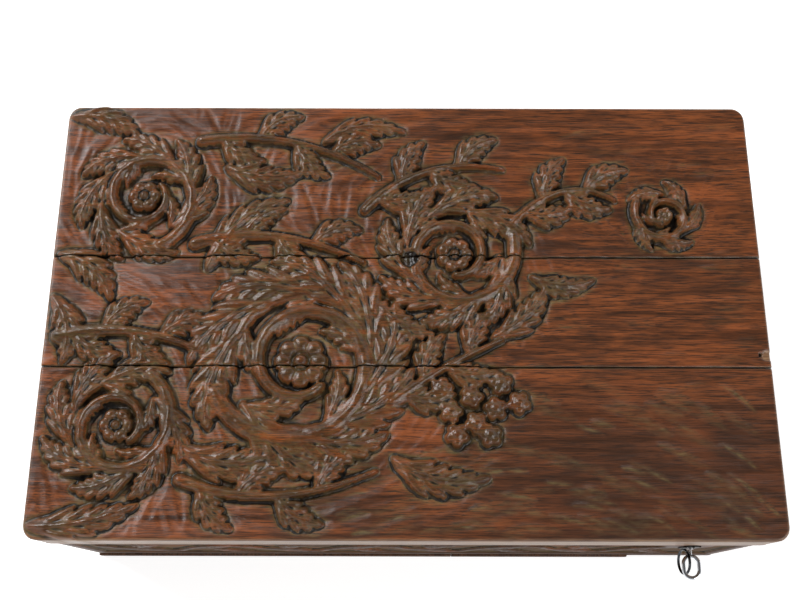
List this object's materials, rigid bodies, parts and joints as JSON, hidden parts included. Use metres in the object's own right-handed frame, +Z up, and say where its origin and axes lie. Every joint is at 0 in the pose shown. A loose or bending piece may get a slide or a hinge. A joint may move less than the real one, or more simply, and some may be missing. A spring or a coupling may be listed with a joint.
{
  "type": "keepsake box",
  "caption": "Low rectangular wooden box with a thick carved lid of boards side by side, hinged at the back, with a small lock at the right of the front and its key on a ring.",
  "frame": {"origin": "middle of the flat underside, which stands on the table", "axes": "+X along the front towards the lock, +Y from the front to the back, +Z up"},
  "size_m": [0.5, 0.343, 0.1514],
  "materials": {
    "lid_wood": "stained, waxed and rubbed, carved",
    "front_wood": "stained and worn, carved low",
    "body_wood": "oiled and waxed, worn",
    "inner_wood": "unfinished, darkened",
    "bottom_wood": "sawn, dry",
    "iron": "dark, slightly rusty",
    "dark_iron": "blackened",
    "hinge_brass": "tarnished",
    "bolt_brass": "rubbed",
    "lock_steel": "dull",
    "chrome": "bright",
    "ring_steel": "dark, bright"
  },
  "bodies": {
    "body": {"front_board": "front_wood", "back_board": "body_wood", "end_board_left": "body_wood", "end_board_right": "body_wood", "bottom_board_left": "bottom_wood", "bottom_board_mid_left": "bottom_wood", "bottom_board_mid_right": "bottom_wood", "bottom_board_narrow": "bottom_wood", "corner_nails": "iron", "bottom_nails": "iron", "hinge_left_body_leaf": "hinge_brass", "hinge_left_pin": "hinge_brass", "hinge_right_body_leaf": "hinge_brass", "hinge_right_pin": "hinge_brass", "hinge_body_screws": "hinge_brass", "lock_case": "lock_steel", "lock_cap": "lock_steel", "lock_key_pin": "lock_steel", "lock_screws": "iron", "keyhole_plate": "dark_iron", "keyhole_plate_pins": "dark_iron"},
    "lid": {"lid_board_front": "lid_wood", "lid_board_middle": "lid_wood", "lid_board_back": "lid_wood", "lid_batten_left": "inner_wood", "lid_batten_right": "inner_wood", "batten_screws": "iron", "hinge_left_lid_leaf": "hinge_brass", "hinge_right_lid_leaf": "hinge_brass", "hinge_lid_screws": "hinge_brass", "link_plate": "lock_steel", "link_plate_screws": "iron"},
    "bolt": {"lock_bolt": "bolt_brass"},
    "key": {"key": "chrome"},
    "ring": {"split_ring": "ring_steel"}
  },
  "joints": [
    {"name": "lid_hinge", "type": "hinge", "parent": "body", "child": "lid", "pos_m": [0, 0.1606, 0.1122], "axis": [-1, 0, 0], "range_deg": [0, 180]},
    {"name": "key_turn", "type": "hinge", "parent": "body", "child": "key", "pos_m": [0.196, -0.145, 0.099], "axis": [0, -1, 0], "range_deg": [0, 180]},
    {"name": "bolt_slide", "type": "slide", "parent": "body", "child": "bolt", "axis": [-1, 0, 0], "range_m": [0, 0.007]},
    {"name": "ring_swing", "type": "hinge", "parent": "key", "child": "ring", "pos_m": [0.1936, -0.1669, 0.099], "axis": [0, 1, 0], "range_deg": [-22, 2]}
  ],
  "couplings": [
    {"joint": "key_turn", "follows": "bolt_slide", "rad_per_m": 448.8}
  ]
}
